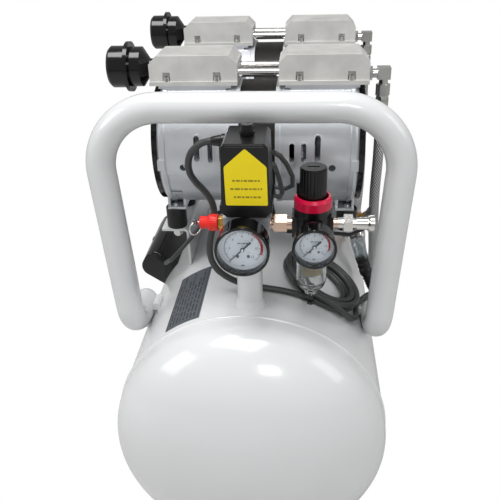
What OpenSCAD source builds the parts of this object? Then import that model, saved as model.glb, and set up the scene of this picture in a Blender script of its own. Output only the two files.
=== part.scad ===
// Oil-free air compressor: a floor tank with two twin-cylinder pump motors, a carry handle,
// a pressure switch with gauges and a filter-regulator outlet. Millimetres, +Z up.
// X runs across the tank, Y along it (the control end is at -Y), and the floor is Z = 0.

/* [Tank] */
// Outer diameter of the tank barrel
tank_d = 300; // [296:1:304]
// Length of the straight barrel between the two dished ends
barrel_len = 540; // [520:5:560]
// Wall thickness of barrel and ends
tank_wall = 3; // [2:0.5:4]
// Height of the tank axis above the floor
tank_z = 210; // [208:1:212]
// Straight flange of a dished end
dish_flange = 17; // [10:1:25]
// Depth of the elliptical dome
dish_depth = 75; // [60:1:90]

/* [Handle] */
// Diameter of the handle tube
handle_d = 30.5; // [28:0.5:31]
// Place of the handle along the tank
handle_y = -210.4; // [-212:0.1:-208]
// Height of the top bar's centre line
handle_top = 561.1; // [555:0.1:565]
// Half width of the handle at its top corners
handle_half = 152.25; // [151:0.25:154]
// Outward lean of each leg in degrees
handle_lean = 3.1; // [2.5:0.1:3.5]
// Centre line radius of the top corners
corner_r = 65; // [55:1:75]
// Centre line radius of the bend at the foot of a leg
foot_bend_r = 32; // [28:1:36]
// Height of the welded run's centre line
run_z = 296; // [295:1:298]

/* [Pumps] */
// Sideways place of both pumps
pump_x = 4; // [0:1:5]
// Place of the front pump along the tank
front_y = -78; // [-80:1:-76]
// Place of the rear pump along the tank
rear_y = 150; // [146:1:152]
// Height of both motor shafts
shaft_z = 485; // [484:1:486]
// Outer radius of a motor bell
bell_r = 74; // [73:1:75]
// Throw of the eccentrics, half of the stroke
throw = 6; // [5:0.5:6]
// Distance of each cylinder from the middle of its pump
cyl_x = 72; // [70:1:74]
// Bore of the cylinders
bore_d = 50; // [49:0.5:51]

/* [Controls] */
// Sideways place of the post, the main gauge and the switch
post_x = 1.3; // [0:0.1:3]
// Place of the post and the manifold along the tank
post_y = -246; // [-247:1:-245]
// Height of the air passage and of the gauges
port_z = 455; // [454:1:456]
// Diameter of the main gauge
main_gauge_d = 51; // [48:1:52]
// Diameter of the regulator gauge
reg_gauge_d = 41; // [38:1:42]
// Sideways place of the filter-regulator
reg_x = 65; // [64:1:66]
// Diameter of the filter bowl
bowl_d = 31; // [29:1:32]

/* [Running gear] */
// Diameter of a rear wheel
wheel_d = 130; // [126:1:132]
// Place of the rear axles along the tank
axle_y = 190; // [180:1:200]
// Place of the front feet along the tank
foot_y = -190; // [-200:1:-180]

/* [Cord] */
// Diameter of the power cord
cord_d = 7; // [6.5:0.1:7.2]

/* [Hidden] */
$fn = 64;

paint = [0.93, 0.93, 0.92];
diecast = [0.78, 0.79, 0.80];
chrome = [0.86, 0.87, 0.88];
brass = [0.80, 0.62, 0.30];
black = [0.09, 0.09, 0.09];
rubber = [0.13, 0.13, 0.13];
cable = [0.30, 0.31, 0.31];

tank_r = tank_d / 2;
barrel_half = barrel_len / 2;
run_gap = 0.3;                    // clearance between free pieces that only lie on each other
fit = 0.05;                       // radial running clearance
eps = 0.5;                        // overshoot of a cut

// pump, in the pump's own frame: X along the shaft from the middle, Z from the floor
bell_x0 = 20;                     // inner end of a bell
bell_x1 = 112;                    // outer end of a bell
bell_inner_r = 66;
web_x = 48;                       // middle of the bearing web
shaft_r = 7.5;
bearing_r = 16;
ecc_r = 15;                       // radius of an eccentric
ecc_half = 6;                     // half width of an eccentric
rod_len = 35;                     // from eccentric centre to wrist centre
ecc_z = shaft_z - throw;          // eccentric centre at bottom of stroke
wrist_z = ecc_z + rod_len;
deck_z = 554;                     // top of a crankcase
head_z0 = 557;                    // underside of a head, above its valve plate
head_z1 = 589;                    // top of a head
head_x0 = 23;
head_x1 = 122;
head_half = 32;                   // half depth of a head along Y
head_screw_x = [45.8, 102.7];
head_screw_y = 29;
tube_y = 16.8;                    // crossover tubes, off the middle of the pump
tube_z = 568;
foot_t = 3;                       // thickness of the pump feet
foot_z = 410.5;                   // underside of the pump feet
foot_x = 104.3;                     // mounts across
foot_dy = 33;                     // mounts along
pumps = [front_y, rear_y];

// rails
rail_x = 84.7;                    // inner face of a rail
rail_w = 33.6;
rail_t = 3;
rail_top = 384;
rail_y0 = -122;
rail_y1 = 200;

// controls
block_x0 = -21;
block_x1 = 24;
block_half = 20;
block_z0 = 432;
block_z1 = 477.6;
base_z1 = 490;                    // top of the switch base
cover_x = 3;                      // middle of the switch cover
cover_y0 = -281;
cover_y1 = -229;
cover_z1 = 549;
knob_x = 4;
knob_y = -255;
reg_y = -244.3;
main_gauge_x = 0.5;
main_face_y = -306;
reg_gauge_x = 66.5;
reg_face_y = -301;
gauge_zero = 225;                 // direction of the needle at rest, in degrees from up
coupler_x0 = 90;

// check valve on the right shoulder
check_angle = 52;
check_y = 35;

// cord
coil_angle = 30;
coil_y = -174;
coil_turn_r = 39;                 // middle of the turns
coil_wide = 3;
coil_layers = 2;
cord_r = cord_d / 2;
coil_mid = tank_r + run_gap + coil_layers * cord_r;
plug_tail = [139, -150, 321.5];
plug_dir = [-0.3, 0.42, 0.857];

// power cord from the strain relief to the start of the coil
lead_in = [[-27.2, -236, 536.9], [-40, -235, 534.5], [-49, -232.5, 528], [-55, -230, 520],
    [-58, -227, 509], [-57, -225, 498], [-52, -223, 488], [-45, -221.5, 479],
    [-38.5, -221, 468], [-36, -221, 456], [-37, -222, 443], [-40, -223.5, 430],
    [-42.5, -225, 416], [-41.5, -226, 402], [-36, -226, 389.5], [-26, -225.5, 379.5],
    [-13, -224.5, 372], [2, -223, 366.8], [18, -221.5, 363.2], [34, -220.5, 359.9],
    [48, -220, 356], [62, -220, 350.6], [76.95, -220, 343.3]];
// power cord from the end of the coil to the plug
lead_out = [[80.5, -220, 349.4], [92, -219.5, 341.5], [103, -217.5, 329.5],
    [112, -209.5, 317.5], [117.5, -198, 310.5], [119.5, -187, 308.5], [119.8, -176, 310],
    [122.5, -169, 311.3], [127.5, -162, 311.6], [133.5, -157, 313.9],
    [139.6, -153.2, 315.4], [140.2, -151.7, 318.1], [139.03, -150.04, 321.41]];
// leads between switch, motors and capacitor
lead_front_motor = [[26, -222, 520], [32, -210, 512], [38, -196, 498], [44, -184, 480],
    [44, -172, 464], [36, -160, 455], [20, -152, 455], [6, -148, 458]];
lead_front_motor_b = [[26, -222, 508], [28, -208, 496], [31, -194, 478], [33, -182, 460],
    [30, -168, 448], [20, -156, 446], [2, -147.5, 449]];
lead_capacitor = [[-124, -82, 316], [-124, -98, 322], [-120, -114, 330], [-110, -127, 342],
    [-98, -131, 356], [-84, -130, 372], [-70, -124, 388], [-54, -112, 398], [-38, -102, 403],
    [-22, -98, 405], [-8, -98, 408], [4, -100, 414]];
// air line that unloads the pumps at switch-off
unloader = [[20, -223, 483], [21, -214, 476], [24, -213, 455], [29, -215, 437],
    [40, -217, 431], [60, -217, 432], [84, -217, 430], [105, -213, 426], [120, -196, 424],
    [130, -166, 424], [134, -134, 420], [135, -104, 404], [134, -74, 378], [132, -44, 348],
    [129, -18, 322], [126.1, 0, 309.5], [126.1, 15, 308.5]];
// braided delivery hoses from the heads down to the check valve
hose_front = [[144.5, -78, 536.8], [144.5, -79, 500], [144.5, -81, 460], [143.5, -83, 415],
    [145, -84, 370], [147.5, -81, 335], [148.5, -72, 308], [146.5, -55, 292],
    [143, -36, 291], [140.5, -18, 299], [139, -4, 309.5], [138.1, 5, 315.5],
    [137.9, 8, 317.2], [137.9, 12.1, 317.7]];
hose_rear = [[144.5, 150, 536.8], [144.5, 149, 500], [145, 148, 460], [146, 146, 415],
    [147, 142, 372], [146, 132, 340], [143, 114, 320], [140, 92, 314], [138.4, 72, 316],
    [137.9, 57.9, 317.7]];

// ---------- shared shapes ----------

module rod_x(r, x0, x1) {
    translate([x0, 0, 0]) rotate([0, 90, 0]) cylinder(r = r, h = x1 - x0);
}

module rod_y(r, y0, y1) {
    translate([0, y0, 0]) rotate([-90, 0, 0]) cylinder(r = r, h = y1 - y0);
}

module rod_z(r, z0, z1) {
    translate([0, 0, z0]) cylinder(r = r, h = z1 - z0);
}

module hex_x(across, x0, x1) {
    translate([x0, 0, 0]) rotate([0, 90, 0]) cylinder(d = across / cos(30), h = x1 - x0, $fn = 6);
}

module hex_y(across, y0, y1) {
    translate([0, y0, 0]) rotate([-90, 0, 0]) cylinder(d = across / cos(30), h = y1 - y0, $fn = 6);
}

module hex_z(across, z0, z1) {
    translate([0, 0, z0]) cylinder(d = across / cos(30), h = z1 - z0, $fn = 6);
}

module ring_x(r0, r1, x0, x1) {
    difference() {
        rod_x(r1, x0, x1);
        rod_x(r0, x0 - eps, x1 + eps);
    }
}

module block(x0, x1, y0, y1, z0, z1) {
    translate([x0, y0, z0]) cube([x1 - x0, y1 - y0, z1 - z0]);
}

module tank_volume(r) {
    translate([0, 0, tank_z]) rod_y(r, -barrel_half, barrel_half);
}

module both_sides() {
    children();
    mirror([1, 0, 0]) children();
}

module at_pump(y) {
    translate([pump_x, y, 0]) children();
}

function unit(v) = v / norm(v);
function tangents(p) = [for (i = [0:len(p) - 1])
    unit(p[min(i + 1, len(p) - 1)] - p[max(i - 1, 0)])];
function carried(t, i, side) = i >= len(t) ? [] :
    let (w = unit(side - (side * t[i]) * t[i])) concat([w], carried(t, i + 1, w));

// round tube swept along a list of points, one ring at each point
module swept(p, r, sides) {
    t = tangents(p);
    w = carried(t, 0, abs(t[0].x) > 0.9 ? [0, 1, 0] : [1, 0, 0]);
    rings = len(p);
    points = [for (i = [0:rings - 1]) for (j = [0:sides - 1])
        p[i] + r * (cos(360 * j / sides) * w[i] + sin(360 * j / sides) * cross(t[i], w[i]))];
    walls = [for (i = [0:rings - 2]) for (j = [0:sides - 1])
        [i * sides + j, (i + 1) * sides + j, (i + 1) * sides + (j + 1) % sides,
            i * sides + (j + 1) % sides]];
    start = [for (j = [0:sides - 1]) j];
    end = [for (j = [sides - 1:-1:0]) (rings - 1) * sides + j];
    polyhedron(points = points, faces = concat([start], walls, [end]), convexity = 6);
}

// ---------- tank and frame ----------

module tank_barrel() color(paint)
    difference() {
        tank_volume(tank_r);
        translate([0, 0, tank_z]) rod_y(tank_r - tank_wall, -barrel_half - eps, barrel_half + eps);
        translate([post_x, post_y, 0]) rod_z(5, tank_z, tank_z + tank_r + eps);
    }

// dished end with its seam at h = 0 and the dome towards +h
module dish() {
    step = 7.5;
    inner_r = tank_r - tank_wall;
    inner_depth = dish_depth - tank_wall;
    outer = [for (a = [0:step:90]) [tank_r * cos(a), dish_flange + dish_depth * sin(a)]];
    inner = [for (a = [90:-step:0]) [inner_r * cos(a), dish_flange + inner_depth * sin(a)]];
    rotate_extrude($fn = 96) polygon(concat([[tank_r, 0]], outer, inner, [[inner_r, 0]]));
    // weld bead at the seam
    bead_r = 2.2;
    rotate_extrude($fn = 96) translate([tank_r - 0.6, bead_r]) circle(r = bead_r, $fn = 16);
}

module tank_dishes() color(paint) {
    translate([0, -barrel_half, tank_z]) rotate([90, 0, 0]) dish();
    translate([0, barrel_half, tank_z]) rotate([-90, 0, 0]) dish();
}

module manifold_post() color(paint)
    difference() {
        translate([post_x, post_y, 0]) difference() {
            union() {
                rod_z(13.3, 350, block_z0);
                translate([0, 0, 350]) cylinder(r1 = 21, r2 = 13.3, h = 18);
            }
            rod_z(9, 340, block_z0 + eps);
        }
        tank_volume(tank_r);
    }

// one leg: top corner, leg, foot bend and the run that is welded to the tank; the straight
// tubes reach a little way over the bends, which are drawn thinner by a hair
module handle_side(r, end_y) {
    a = handle_lean;
    lap = 0.5;
    bend_tube_r = r - 0.05;
    corner_x = handle_half - corner_r * cos(a);
    corner_z = handle_top - corner_r;
    leg_z = corner_z - corner_r * sin(a);
    leg = (leg_z - run_z) / cos(a) - foot_bend_r;
    translate([corner_x, handle_y, corner_z]) rotate([90, 0, 0]) rotate([0, 0, -a])
        rotate_extrude(angle = 90 + a) translate([corner_r, 0]) circle(r = bend_tube_r);
    translate([handle_half, handle_y, leg_z]) rotate([0, a, 0]) {
        rod_z(r, -leg - lap, lap);
        translate([0, foot_bend_r, -leg]) rotate([0, 90, 0]) rotate([0, 0, -90])
            rotate_extrude(angle = 90) translate([foot_bend_r, 0]) circle(r = bend_tube_r);
        translate([0, 0, -leg - foot_bend_r]) rod_y(r, foot_bend_r - lap, end_y - handle_y);
        translate([0, end_y - handle_y, -leg - foot_bend_r]) sphere(r = bend_tube_r);
    }
}

module handle_tube(r) {
    end_y = -150;
    bar_half = handle_half - corner_r * cos(handle_lean) + 0.5;
    translate([0, handle_y, handle_top]) rod_x(r, -bar_half, bar_half);
    both_sides() handle_side(r, end_y);
}

module carry_handle() color(paint) {
    run_x = handle_half - (handle_top - corner_r - run_z) * tan(handle_lean);
    run_angle = atan2(run_x, run_z - tank_z);
    difference() {
        handle_tube(handle_d / 2);
        handle_tube(handle_d / 2 - 2);
    }
    // weld fillets between the run and the tank
    difference() {
        both_sides() for (side = [-5.6, 5.6])
            translate([0, 0, tank_z]) rotate([0, run_angle + side, 0])
                translate([0, 0, tank_r + 4]) rod_y(5, -174, -152);
        tank_volume(tank_r);
    }
}

module rail() {
    bend = 6;
    difference() {
        union() {
            block(rail_x + bend, rail_x + rail_w, rail_y0, rail_y1, rail_top - rail_t, rail_top);
            block(rail_x, rail_x + rail_t, rail_y0, rail_y1, 325, rail_top - bend);
            intersection() {
                translate([rail_x + bend, 0, rail_top - bend]) difference() {
                    rod_y(bend, rail_y0, rail_y1);
                    rod_y(bend - rail_t, rail_y0 - eps, rail_y1 + eps);
                }
                block(rail_x - 1, rail_x + bend, rail_y0 - 1, rail_y1 + 1,
                    rail_top - bend, rail_top + 1);
            }
        }
        tank_volume(tank_r);
    }
}

// holes for the mount studs, which follow the pumps' own sideways place
module mount_rails() color(paint)
    difference() {
        both_sides() rail();
        for (y = pumps) at_pump(y) for (s = [-1, 1]) for (t = [-1, 1])
            translate([s * foot_x, t * foot_dy, 0]) rod_z(3.3, 370, 390);
    }

plate_x = 128;
axle_r = 6;
axle_z = wheel_d / 2;

module undercarriage_brackets() color(paint)
    difference() {
        union() {
            both_sides() {
                hull() {
                    translate([plate_x, axle_y, axle_z]) rod_x(20, 0, 3);
                    block(plate_x, plate_x + 3, axle_y - 25, axle_y + 25, 120, 135);
                }
                translate([0, axle_y, axle_z]) rod_x(axle_r, plate_x + 3, 170);
                // square legs above the front feet
                block(82, 108, foot_y - 13, foot_y + 13, 30, 110);
            }
            block(-plate_x, plate_x, axle_y + 18, axle_y + 21, 50, 135);
        }
        tank_volume(tank_r);
    }

module rubber_feet() color(rubber)
    both_sides() translate([95, foot_y, 0]) {
        cylinder(r1 = 18, r2 = 18, h = 6);
        translate([0, 0, 6]) cylinder(r1 = 18, r2 = 15, h = 24);
    }

// wheel on its stub axle: a rim and a solid tyre, from |x| = 136.4 to 169
module wheel() {
    tyre_r = wheel_d / 2;
    rim_r = 42;
    translate([0, axle_y, axle_z]) rotate([0, 90, 0]) {
        rotate_extrude($fn = 96) polygon([[axle_r + fit, 137], [14, 137], [14, 148], [36, 148],
            [36, 139], [rim_r, 139], [rim_r, 166], [36, 166], [36, 154], [14, 154],
            [14, 169], [axle_r + fit, 169]]);
        rotate_extrude($fn = 96) polygon([[rim_r + fit, 139], [50, 136.4], [60, 138],
            [tyre_r, 144], [tyre_r, 161], [60, 167], [50, 168.6], [rim_r + fit, 166]]);
    }
}

module left_wheel() color(rubber) mirror([1, 0, 0]) wheel();

module right_wheel() color(rubber) wheel();

drain_y = -150;
key_z = 50;

module drain_valve_body() color(brass)
    difference() {
        translate([0, drain_y, 0]) difference() {
            union() {
                hex_z(17, 42, 57);
                rod_z(7, 57, 75);
                rod_z(5, 32, 42);
            }
            rod_z(2.5, 32 - eps, 46);
            translate([0, 0, key_z]) rod_x(2.5 + fit, 1, 12);
        }
        tank_volume(tank_r);
    }

module drain_valve_key() color([0.75, 0.1, 0.1])
    translate([0, drain_y, key_z]) {
        rod_x(2.5, 1.5, 16);
        block(13, 16, -4, 4, -9, 9);
    }

// ---------- controls ----------

module manifold_block() color([0.55, 0.55, 0.56])
    difference() {
        union() {
            block(block_x0, block_x1, post_y - block_half, post_y + block_half, 440, 470);
            translate([post_x, post_y, 0]) {
                rod_z(16, block_z0, 440);
                rod_z(16, 470, block_z1);
            }
        }
        translate([post_x, post_y, 0]) rod_z(5, block_z0 - eps, port_z);
        translate([0, post_y, port_z]) rod_x(4, block_x0 - eps, block_x1 + eps);
    }

module pressure_switch_base() color(black)
    translate([cover_x, 0, 0]) rotate([90, 0, 0]) translate([0, 0, -cover_y1])
        linear_extrude(cover_y1 - cover_y0)
            polygon([[-24.2, base_z1], [-24.2, block_z1 + 6], [-18, block_z1], [18, block_z1],
                [24.5, block_z1 + 6], [24.5, base_z1]]);

// front outline of the switch cover, drawn in by t on the sides and the top
module cover_outline(t) {
    polygon([[-22.5 + t, base_z1], [22.5 - t, base_z1], [21 - t, cover_z1 - 4],
        [18 - t, cover_z1 - t], [-18 + t, cover_z1 - t], [-21 + t, cover_z1 - 4]]);
}

module cover_prism(t, y0, y1) {
    translate([cover_x, y1, 0]) rotate([90, 0, 0]) linear_extrude(y1 - y0) cover_outline(t);
}

knob_r = 7;
knob_stem_r = 3;

module pressure_switch_cover() color(black)
    difference() {
        union() {
            cover_prism(0, cover_y0, cover_y1);
            // two ridges below the top front edge
            for (z = [545.6, 547.6])
                translate([cover_x, cover_y0, z]) rod_x(0.6, -17, 17);
        }
        difference() {
            cover_prism(2, cover_y0 + 2, cover_y1 - 2);
            // collar under the knob
            translate([knob_x, knob_y, 0]) rod_z(knob_r, 541, cover_z1);
        }
        translate([knob_x, knob_y, 0]) rod_z(knob_stem_r + fit, 535, cover_z1 + eps);
        // outlet of the power cord
        translate([-26, -236, 537]) rod_x(4.2, 0, 12);
    }

// contact block, diaphragm housing and setting spring inside the cover
module switch_mechanism() color([0.85, 0.80, 0.65]) {
    block(-12, 12, -277, -262, base_z1, 520);
    translate([10, -246, 0]) rod_z(8, base_z1, 498);
    translate([10, -246, 0]) for (z = [500:4:524]) translate([0, 0, z])
        rotate_extrude() translate([5, 0]) circle(r = 1, $fn = 16);
    translate([10, -246, 0]) rod_z(2, 498, 530);
}

module switch_knob() color(black)
    translate([knob_x, knob_y, 0]) {
        rod_z(knob_stem_r, 532, cover_z1 + 1);
        translate([0, 0, cover_z1 + 0.6]) cylinder(r = knob_r, h = 3, $fn = 8);
        translate([0, 0, cover_z1 + 3.6]) cylinder(r1 = 6, r2 = 5.4, h = 6.4);
    }

// pressure gauge case facing -Y, open at the front, with its pipe stem behind
module gauge_case(d, face, back, stem_back) {
    r = d / 2;
    translate([0, face, 0]) rotate([-90, 0, 0])
        rotate_extrude($fn = 96) polygon([[r - 2.6, 0], [r - 0.8, 0], [r, 0.8], [r, 5], [r - 1.2, 6],
            [r - 1.2, back - 1], [r - 2.2, back], [4, back], [4, back - 2], [r - 2.6, back - 2]]);
    hex_y(12, face + back, stem_back - 5);
    rod_y(5, stem_back - 5, stem_back);
}

module at_main_gauge() {
    translate([main_gauge_x, 0, port_z - 1]) children();
}

module at_reg_gauge() {
    translate([reg_gauge_x, 0, port_z]) children();
}

main_case_back = 24.7;
reg_case_back = 20;

module gauge_cases() color(black) {
    at_main_gauge() gauge_case(main_gauge_d, main_face_y, main_case_back, post_y - block_half);
    at_reg_gauge() gauge_case(reg_gauge_d, reg_face_y, reg_case_back, reg_y - 20);
}

// dial plate with the pivot pin of the needle
dial_back = 9;                    // depth of the dial's front face behind the rim
module gauge_dial(d, face, back) {
    r = d / 2 - 2.6;
    rod_y(r, face + dial_back, face + dial_back + 1);
    rod_y(4, face + dial_back + 1, face + back - 2);
    rod_y(1, face + 4, face + dial_back);
}

module gauge_dials() color([0.93, 0.95, 0.97]) {
    at_main_gauge() gauge_dial(main_gauge_d, main_face_y, main_case_back);
    at_reg_gauge() gauge_dial(reg_gauge_d, reg_face_y, reg_case_back);
}

module gauge_lenses() color([0.8, 0.9, 1.0, 0.3]) {
    at_main_gauge() rod_y(main_gauge_d / 2 - 2.6, main_face_y + 1.5, main_face_y + 3.5);
    at_reg_gauge() rod_y(reg_gauge_d / 2 - 2.6, reg_face_y + 1.5, reg_face_y + 3.5);
}

// needle turning on its pivot, with a thick tail and a thin pointer
module gauge_needle(r, face) {
    y = face + 5.5;
    difference() {
        union() {
            rod_y(1.9, y, y + 1);
            rotate([0, gauge_zero, 0]) translate([0, y, 0]) rotate([-90, 0, 0])
                linear_extrude(0.6)
                    polygon([[-0.6, 0], [-0.25, -r * 0.85], [0.25, -r * 0.85], [0.6, 0],
                        [0.9, r * 0.5], [-0.9, r * 0.5]]);
        }
        rod_y(1 + fit, y - eps, y + 1 + eps);
    }
}

module main_gauge_needle() color(black)
    at_main_gauge() gauge_needle(main_gauge_d / 2 - 4, main_face_y);

module regulator_gauge_needle() color(black)
    at_reg_gauge() gauge_needle(reg_gauge_d / 2 - 4, reg_face_y);

valve_stem_r = 1.5;
valve_eye_x = -52.1;
ring_dir = 45;                    // heading of the ring's hole in plan

module safety_valve_body() {
    translate([0, post_y, port_z]) {
        color(brass) difference() {
            union() {
                hex_x(13, -28.5, block_x0 - 0.7);
                rod_x(4.5, block_x0 - 0.7, block_x0);
            }
            rod_x(valve_stem_r + fit, -29, -24);
        }
        color([0.9, 0.08, 0.05]) difference() {
            union() {
                rod_x(8.5, -37, -28.5 - fit);
                translate([-39, 0, 0]) rotate([0, 90, 0]) cylinder(r1 = 6.3, r2 = 8.5, h = 2);
                rod_x(6.3, -46.8, -39);
            }
            rod_x(valve_stem_r + fit, -48, -28);
        }
    }
}

module safety_valve_stem() color(chrome)
    translate([0, post_y, port_z]) difference() {
        union() {
            rod_x(valve_stem_r, valve_eye_x, -25);
            translate([valve_eye_x, 0, 0]) rotate([0, 0, ring_dir]) rod_x(3.4, -1.2, 1.2);
        }
        translate([valve_eye_x, 0, 0]) rotate([0, 0, ring_dir]) rod_x(1.9, -5, 5);
    }

ring_r = 6.8;
module safety_valve_ring() color(chrome)
    translate([valve_eye_x, post_y, port_z - ring_r]) rotate([0, 0, ring_dir])
        rotate([90, 0, 0]) rotate_extrude() translate([ring_r, 0]) circle(r = 0.8, $fn = 16);

// nipples between manifold and regulator, and between regulator and coupler
module pipe_nipples() color(chrome) {
    translate([0, post_y, port_z]) difference() {
        union() {
            rod_x(6.5, block_x1, 27);
            hex_x(17, 27, 40);
            rod_x(6.5, 40, reg_x - 20);
        }
        rod_x(4, block_x1 - eps, reg_x);
    }
    translate([0, reg_y, port_z]) ring_x(3.5, 5, reg_x + 20, coupler_x0);
}

module at_reg() {
    translate([reg_x, reg_y, 0]) children();
}

reg_z0 = 432;
reg_z1 = 473.4;
collar_z1 = 484.8;
spindle_r = 4;

module regulator_body() color(black)
    difference() {
        union() {
            at_reg() rod_z(18.5, reg_z0, reg_z1);
            at_reg() block(-20, 20, -11, 11, 444, 466);
            at_reg() block(-9, 9, -20, 0, 445, 465);
        }
        translate([0, reg_y, port_z]) {
            rod_x(3.5, reg_x, reg_x + 20 + eps);
        }
        translate([0, post_y, port_z]) rod_x(3.5, reg_x - 20 - eps, reg_x);
        at_reg() rod_z(spindle_r + fit, 461, reg_z1 + eps);
    }

module regulator_collar() color([0.80, 0.03, 0.22])
    at_reg() difference() {
        union() {
            rod_z(18.4, reg_z1, collar_z1 - 3);
            translate([0, 0, collar_z1 - 3]) cylinder(r1 = 18.4, r2 = 17, h = 3);
        }
        rod_z(15.2, reg_z1 + 2.4, collar_z1 + eps);
        rod_z(6, reg_z1 - eps, reg_z1 + 3);
    }

// adjusting spindle with a flat, which turns the pressure spring
module regulator_spindle() color(chrome)
    at_reg() rod_z(spindle_r, 462, 504);

// fluted knob that lifts off its lock on the spindle
module regulator_knob() color(black)
    at_reg() difference() {
        union() {
            rod_z(13, reg_z1 + 3.4, 513);
            rod_z(12, 513, 514);
            rotate([0, 0, 180]) translate([13, 0, 0]) rod_z(3, 486, 498);
        }
        for (a = [0:15:345]) if (a != 180)
            rotate([0, 0, a]) translate([13.9, 0, 0]) rod_z(1.4, 488, 514 + eps);
        rod_z(spindle_r + fit, 470, 508);
        // shallow sunk grip mark on the top
        translate([0, 0, 513.2]) block(-6, 6, -1.5, 1.5, 0, 2);
    }

module filter_bowl() color([0.85, 0.87, 0.88, 0.5])
    at_reg() rotate_extrude($fn = 96) {
        r = bowl_d / 2;
        polygon([[r, reg_z0], [r, 390], [r - 2, 384], [8, 378], [6, 374], [2.6, 374], [2.6, 377],
            [6, 380], [r - 4, 386], [r - 2, 391], [r - 2, reg_z0]]);
    }

// sintered element with the conical baffle below it
module filter_element() color([0.80, 0.72, 0.52])
    at_reg() {
        difference() {
            rod_z(8, 406, reg_z0);
            rod_z(4.5, 409, reg_z0 + eps);
        }
        translate([0, 0, 400]) cylinder(r1 = 11.5, r2 = 4, h = 6);
    }

module bowl_drain_pin() color([0.2, 0.2, 0.2])
    at_reg() {
        rod_z(2.55, 364, 381);
        rod_z(4.2, 360.5, 364);
        rod_z(4, 381, 383);
    }

sleeve_x0 = 108;
coupler_end = 125.5;
module coupler_body() color(chrome)
    translate([0, reg_y, port_z]) difference() {
        union() {
            rod_x(5.5, coupler_x0, 95.5);
            hex_x(17, 95.5, 104);
            rod_x(5.2, 104, coupler_end);
        }
        rod_x(3.5, coupler_x0 - eps, 106);
        rod_x(4.3, 105, coupler_end + eps);
    }

module coupler_sleeve() color(chrome)
    translate([0, reg_y, port_z]) difference() {
        union() {
            rod_x(6.5, sleeve_x0, 119);
            translate([119, 0, 0]) rotate([0, 90, 0]) cylinder(r1 = 7.5, r2 = 8.5, h = 2);
            rod_x(8.5, 121, 125);
        }
        rod_x(5.2 + fit, sleeve_x0 - eps, 126);
    }

// ---------- pumps ----------

// one bell of the motor and crankcase, on the +X side of its pump
module bell() {
    difference() {
        union() {
            translate([0, 0, shaft_z]) rotate([0, 90, 0]) rotate_extrude($fn = 128)
                polygon([[bell_r + 0.8, bell_x0], [bell_r + 0.8, 25], [bell_r, 26], [bell_r, 102],
                    [bell_r + 0.8, 103], [bell_r + 0.8, 107], [bell_r - 1, 109.5],
                    [bell_r - 4, bell_x1], [bell_inner_r, bell_x1], [bell_inner_r, bell_x0]]);
            // deck block that carries the cylinder
            difference() {
                block(36, 108, -head_half, head_half, 520, deck_z);
                translate([0, 0, shaft_z]) rod_x(bell_inner_r, 30, 115);
            }
            // bearing web
            translate([0, 0, shaft_z]) ring_x(bearing_r, bell_inner_r + 1, web_x - 3, web_x + 3);
            // foot with its two ribs
            difference() {
                union() {
                    block(90, 112, -43, 43, foot_z, foot_z + foot_t);
                    for (x = [90, 109])
                        block(x, x + 3, -40, 40, foot_z, 440);
                }
                translate([0, 0, shaft_z]) rod_x(bell_inner_r, 80, 120);
            }
            // lug on the front face
            for (s = [-1, 1])
                translate([107.5, s * 72, shaft_z - 6]) block(-4, 4, -4, 4, -6, 6);
            // raised rims round the slots
            intersection() {
                translate([0, 0, shaft_z]) rod_x(bell_r + 0.8, 30, 80);
                for (s = [-1, 1]) slots(s, 1.6);
            }
        }
        block(0, 130, -80, 80, deck_z, 600);
        translate([cyl_x, 0, 0]) rod_z(28, 505, deck_z + eps);
        for (t = [-1, 1])
            translate([foot_x, t * foot_dy, 0]) rod_z(3.3, foot_z - eps, foot_z + 11);
        for (s = [-1, 1]) {
            // cooling slots and the round hole through the wall
            slots(s, 0);
            translate([82.8, s * 70, 476]) rod_y(4, -12, 12);
        }
        // shallow panels in the outside of the wall
        difference() {
            for (s = [-1, 1]) {
                block(33.5, 41, s * 70 - 15, s * 70 + 15, 454, 471);
                block(89, 102, s * 66 - 15, s * 66 + 15, 440, 467);
            }
            translate([0, 0, shaft_z]) rod_x(bell_r - 1.4, 30, 110);
        }
    }
}

// upright slot with round ends, cut along Y through the wall on side s
module slot(x, s, z, length, r) {
    translate([x, s * 70, z]) {
        block(-r, r, -12, 12, -length / 2, length / 2);
        for (e = [-1, 1]) translate([0, 0, e * length / 2]) rod_y(r, -12, 12);
    }
}

// the three cooling slots of side s, wider by t all round
module slots(s, t) {
    slot(38.5, s, 493, 16, 2.8 + t);
    slot(51.5, s, 493, 16, 2.8 + t);
    slot(66.5, s, 497.5, 22, 3.2 + t);
}

module crankcases() color(diecast)
    for (y = pumps) at_pump(y) both_sides() bell();

// head casting: a flange with notches for its screws, and upright fins along X with bevelled
// ends over the hollow air chamber
module head() {
    flange_z = head_z0 + 4.5;
    face = head_half - 3;             // front of the foremost fin
    fin_pitch = 5.6;
    bevel = 9;
    difference() {
        union() {
            block(head_x0, head_x1, -head_half, head_half, head_z0, flange_z);
            translate([0, face, 0]) rotate([90, 0, 0]) linear_extrude(2 * face)
                polygon([[head_x0, flange_z], [head_x1, flange_z], [head_x1, head_z1 - bevel],
                    [head_x1 - bevel, head_z1], [head_x0 + bevel, head_z1],
                    [head_x0, head_z1 - bevel]]);
        }
        for (i = [-4:1:4])
            translate([0, i * fin_pitch, 0]) block(head_x0 - 1, head_x1 + 1, -1.1, 1.1, 581, 595);
        for (x = head_screw_x) for (t = [-1, 1])
            translate([x, t * head_screw_y, 0]) rod_z(4.2, flange_z, 571);
        block(38, 106, -20, 20, head_z0 - eps, 574);
        for (t = [-1, 1])
            translate([0, t * tube_y, tube_z]) rod_x(3, head_x0 - eps, 40);
    }
}

module cylinder_heads() color([0.68, 0.69, 0.70])
    for (y = pumps) at_pump(y) both_sides() head();

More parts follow.
